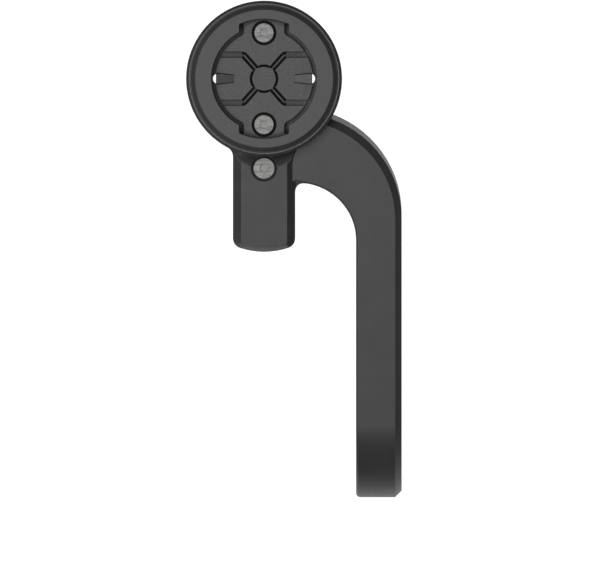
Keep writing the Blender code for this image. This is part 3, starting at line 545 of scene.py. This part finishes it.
FINGER_RISE = 0.9 * MM                      # from root to tip
FINGER_ROOT_HALF = 0.94 * MM
FINGER_SPREAD = 0.40 * MM                   # how much wider each side is at the tip
FINGER_EDGE = 0.06 * MM                     # chamfers along the top
NOSE_START = 0.92                           # share of the length where the top turns down
NOSE_DROP = 0.1 * MM
FRAME_TOP = PLATEAU + 0.008 * MM            # a hair above the socket's floor


def finger_span(node, side):
    """X at the root and at the tip, Y along the middle, and the top of a finger's CAD node."""
    low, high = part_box(node)
    root, tip = (low.x, high.x) if side > 0 else (high.x, low.x)
    return root, tip, (low.y + high.y) / 2, high.z


def detent_finger(node, side):
    """Sprung leaf that grows out of the socket's floor and rises outward."""
    root, tip, centre, _ = finger_span(node, side)
    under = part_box(node)[0].z
    start = root - side * 0.26 * MM
    end = tip + side * 0.15 * MM
    rings = []
    for share in (0.0, 0.08, 0.3, 0.55, 0.8, NOSE_START, 0.98, 1.0):
        x = start + (end - start) * share
        half = FINGER_ROOT_HALF + FINGER_SPREAD * share
        drop = NOSE_DROP * max(0.0, (share - NOSE_START) / (1 - NOSE_START)) ** 2
        top = PLATEAU + FINGER_RISE * share - drop
        base = under + 0.1 * MM * share if share else PLATEAU - 0.6 * MM
        side_top = top - FINGER_EDGE
        corners = ((-half, base), (half, base), (half, side_top), (half - FINGER_EDGE, top))
        corners += ((FINGER_EDGE - half, top), (-half, side_top))
        rings.append([Vector((x, centre + y, z)) for y, z in corners])
    leaf = skin(node + "_leaf", rings)
    settle(leaf, node, Vector((0, 0, 0)))
    soften(leaf, 0.03 * MM)


def finger_frame(node, side):
    """Moulded edge of the finger's opening, with a step below that closes the side gaps."""
    root, tip, centre, high = finger_span(node, side)

    def rows(*pairs):
        """X from an end and a number of mm beyond it, with the half width in mm there."""
        return [(end + side * beyond * MM, half * MM) for end, beyond, half in pairs]

    # both outlines are open at the tip, where the crescent of floor shows
    outside = rows((root, -0.5, 1.26), (tip, 0.34, 1.86))
    rim = rows((tip, 0.34, 1.5), (root, -0.27, 1.09))
    step = rows((tip, 0.30, 1.15), (tip, -0.2, 1.15), (root, 0.0, 0.7))
    parts = (("_frame", rim, high - 1.6 * MM, FRAME_TOP),
             ("_frame_step", step, high - 3.0 * MM, high - 2.45 * MM))
    for suffix, inside, base, top in parts:
        loop = [(x, -y) for x, y in reversed(outside)] + outside + inside
        loop += [(x, -y) for x, y in reversed(inside)]
        edge = prism(node + suffix, [(x, centre + y) for x, y in loop], base, top)
        edge.data.materials.append(FINISHES["black_nylon"])
        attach(edge, BODY_OF["mount_insert"])


detent_finger("detent_finger_left", -1)
detent_finger("detent_finger_right", 1)
finger_frame("detent_finger_left", -1)
finger_frame("detent_finger_right", 1)

LINER_IN = 15.9 * MM
LINER_OUT = 16.92 * MM
LINER_STEPS = 60                            # along the outside
GROOVES = 16
GROOVE_DEPTH = 0.28 * MM


def liner(node, start, end):
    """Rubber half shell from one angle to another, with shallow grooves along the bar."""
    low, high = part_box(node)
    half = (high.x - low.x) / 2
    forward = ACROSS.cross(BOLT_AXIS) * -1
    outline = []
    for k in range(LINER_STEPS + 1):
        a = math.radians(start + (end - start) * k / LINER_STEPS)
        outline.append((LINER_OUT * math.cos(a), LINER_OUT * math.sin(a)))
    bands = GROOVES * 2 + 1                 # grooves and the lands on both sides of them
    width = (end - start) / bands
    for k in reversed(range(bands)):
        r = LINER_IN + (GROOVE_DEPTH if k % 2 else 0.0)
        for share in (0.92, 0.5, 0.08):
            a = math.radians(start + (k + share) * width)
            outline.append((r * math.cos(a), r * math.sin(a)))
    shell = prism(node + "_grooved", outline, -half, half)
    settle(shell, node, Vector(((low.x + high.x) / 2, 0, 0)), ACROSS, forward)
    soften(shell, 0.06 * MM)


liner("upper_liner", 3, 177)
liner("lower_liner", 183, 357)


SEAM_IN = 18.9                              # mm, just inside the insert's wall
SEAM_OUT = 19.185                           # mm, just inside the cup's wall
SEAM_LOW = 43.0
SEAM_HIGH = (43.91, 43.79)                  # top at the inside and at the outside
SEAM_POINTS = 144


def socket_seam():
    """Shallow slope that fills the gap between the insert's chamfer and the cup's wall."""
    profile = ((SEAM_IN, SEAM_LOW), (SEAM_OUT, SEAM_LOW))
    profile += ((SEAM_OUT, SEAM_HIGH[1]), (SEAM_IN, SEAM_HIGH[0]))
    count = SEAM_POINTS
    corners = [p for r, z in profile for p in circle(r * MM, z * MM, count)]
    faces = []
    for k in range(4):
        a, b = k * count, (k + 1) % 4 * count
        faces += [(a + i, a + (i + 1) % count, b + (i + 1) % count, b + i) for i in range(count)]
    seam = mesh_object("mount_insert_seam", corners, faces)
    centre = middle("mount_insert")
    seam.matrix_world = Matrix.Translation((centre.x, centre.y, 0))
    seam.data.materials.append(FINISHES["black_nylon"])
    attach(seam, BODY_OF["mount_insert"])
    soften(seam, 0.01 * MM)


socket_seam()

# rounded edges of the CAD nodes that show as they are, in mm
POLISHED = {"arm_body": 0.07, "clamp_jaw": 0.25, "mount_insert": 0.06, "accessory_adapter": 0.35,
            "bolt_washer": 0.10, "bolt_retaining_ring": 0.10, "front_thread_insert": 0.08}
for cad_node, edge_width in POLISHED.items():
    polish(cad_node, edge_width * MM)


# ---------------------------------------------------------------- stage, light and camera

FLOOR_Z = -0.09
VIEW_CENTRE = (-20.38 * MM, 30.53 * MM)
VIEW_WIDTH = 155.1 * MM
VIEW_HEIGHT = 1.5
LAMP_AIM = Vector((0, 0.04, 0.02))
GLOW = (0.95, 0.02)                         # the floor's, under the mount and far from it
GLOW_REACH = (0.15, 0.50)
ROOM_LIGHT = 0.06


def stage():
    """Pale floor that is plain white to the camera, and lights the mount softly from below."""
    bpy.ops.mesh.primitive_plane_add(size=6.0, location=(0, 0, FLOOR_Z))
    floor = bpy.context.object
    floor.name = "floor"
    n = Nodes("pale_floor", (0.2, 0.2, 0.2), 0.9, 0.0, 0.0)
    reach = n.new("ShaderNodeVectorMath")
    reach.operation = "LENGTH"
    n.set(reach, 0, n.place)
    pool = n.remap(reach.outputs["Value"], *GLOW, *GLOW_REACH)
    sight = n.new("ShaderNodeLightPath").outputs["Is Camera Ray"]
    n.set(n.shader, "Emission Color", (1, 1, 1, 1))
    n.set(n.shader, "Emission Strength", n.maths("MAXIMUM", pool, sight))
    floor.data.materials.append(n.material)


def lamp(name, place, size, power):
    """Round softbox aimed at the mount."""
    data = bpy.data.lights.new(name, "AREA")
    data.shape = "DISK"
    data.size = size
    data.energy = power
    made = bpy.data.objects.new(name, data)
    bpy.context.scene.collection.objects.link(made)
    made.location = place
    aim = LAMP_AIM - Vector(place)
    made.rotation_euler = aim.to_track_quat("-Z", "Y").to_euler()


def surroundings():
    """Dim room light, behind a pale backdrop."""
    made = bpy.data.worlds.new("studio")
    made.use_nodes = True
    bpy.context.scene.world = made
    tree = made.node_tree
    room = tree.nodes["Background"]
    room.inputs["Color"].default_value = (1, 1, 1, 1)
    room.inputs["Strength"].default_value = ROOM_LIGHT
    backdrop = tree.nodes.new("ShaderNodeBackground")
    backdrop.inputs["Color"].default_value = (0.96, 0.96, 0.96, 1)
    path = tree.nodes.new("ShaderNodeLightPath")
    mix = tree.nodes.new("ShaderNodeMixShader")
    tree.links.new(path.outputs["Is Camera Ray"], mix.inputs[0])
    tree.links.new(room.outputs[0], mix.inputs[1])
    tree.links.new(backdrop.outputs[0], mix.inputs[2])
    tree.links.new(mix.outputs[0], tree.nodes["World Output"].inputs[0])


def camera():
    """Level view from straight above, with forward up in the picture."""
    data = bpy.data.cameras.new("camera")
    data.type = "ORTHO"
    data.ortho_scale = VIEW_WIDTH
    data.clip_start = 0.1
    data.clip_end = VIEW_HEIGHT + 2.0
    made = bpy.data.objects.new("camera", data)
    bpy.context.scene.collection.objects.link(made)
    made.location = (*VIEW_CENTRE, VIEW_HEIGHT)
    bpy.context.scene.camera = made


stage()
surroundings()
lamp("top_softbox", (-0.25, 0.05, 1.0), 0.7, 10)
camera()
bpy.context.scene.view_settings.view_transform = "Standard"
